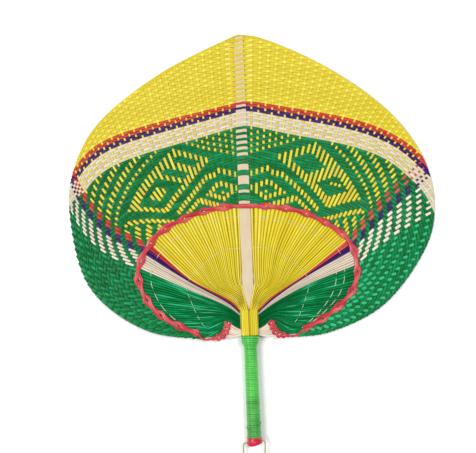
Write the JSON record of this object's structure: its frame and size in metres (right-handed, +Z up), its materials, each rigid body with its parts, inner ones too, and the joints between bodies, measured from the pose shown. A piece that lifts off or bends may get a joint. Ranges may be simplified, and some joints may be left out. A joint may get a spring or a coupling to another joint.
{
  "type": "woven bamboo hand fan",
  "caption": "Flat hand fan with a broad leaf-shaped blade plaited from coloured bamboo strips, a middle slat, a cord-wound handle and a hanging loop.",
  "frame": {"origin": "on the surface that the fan lies on, under the middle of the fan's box without its hanging cord", "axes": "+Z up out of the front of the blade, +Y along the fan from the end of the handle to the tip, +X to the right seen from the front"},
  "size_m": [0.3588, 0.4694, 0.0173],
  "materials": {
    "yellow_bamboo": "dyed yellow bamboo, satin",
    "red_bamboo": "dyed red bamboo, satin",
    "purple_bamboo": "dyed purple bamboo, satin",
    "natural_bamboo": "bare bamboo, matte",
    "green_bamboo": "dyed green bamboo, glossy",
    "winding_cord": "light green plastic cord, glossy",
    "handle_core": "bundled bamboo strip ends",
    "end_cap": "red wrapped end",
    "stitch_thread": "thin off-white thread",
    "hang_cord": "pale olive cord"
  },
  "bodies": {
    "fan": {"spine_slat": "natural_bamboo", "yellow_crown_weave": "yellow_bamboo", "red_weft_1": "red_bamboo", "red_weft_2": "red_bamboo", "purple_weft_1": "purple_bamboo", "purple_weft_2": "purple_bamboo", "natural_weft_1": "natural_bamboo", "natural_weft_2": "natural_bamboo", "natural_weft_3": "natural_bamboo", "natural_weft_4": "natural_bamboo", "natural_weft_5": "natural_bamboo", "natural_weft_6": "natural_bamboo", "green_field_weave": "green_bamboo", "yellow_splints_left": "yellow_bamboo", "yellow_splints_right": "yellow_bamboo", "red_splints_left": "red_bamboo", "red_splints_right": "red_bamboo", "purple_splints_left": "purple_bamboo", "purple_splints_right": "purple_bamboo", "natural_splints_left": "natural_bamboo", "natural_splints_right": "natural_bamboo", "green_splints_left": "green_bamboo", "green_splints_right": "green_bamboo", "lower_splints_left": "natural_bamboo", "lower_splints_right": "natural_bamboo", "ring_strand_1": "red_bamboo", "ring_strand_2": "red_bamboo", "lower_binding_left": "red_bamboo", "lower_binding_right": "red_bamboo", "middle_stitch": "stitch_thread", "outer_stitch_left": "stitch_thread", "outer_stitch_right": "stitch_thread", "neck_bundle": "yellow_bamboo", "handle_core": "handle_core", "handle_winding": "winding_cord", "end_cap": "end_cap"},
    "hang_loop": {"hang_cord": "hang_cord"}
  },
  "joints": [
    {"name": "loop_swing", "type": "hinge", "parent": "fan", "child": "hang_loop", "pos_m": [-0.00713, -0.1968, 0.00885], "axis": [0.9921, 0.1257, 0], "range_deg": [-150, 150]}
  ]
}
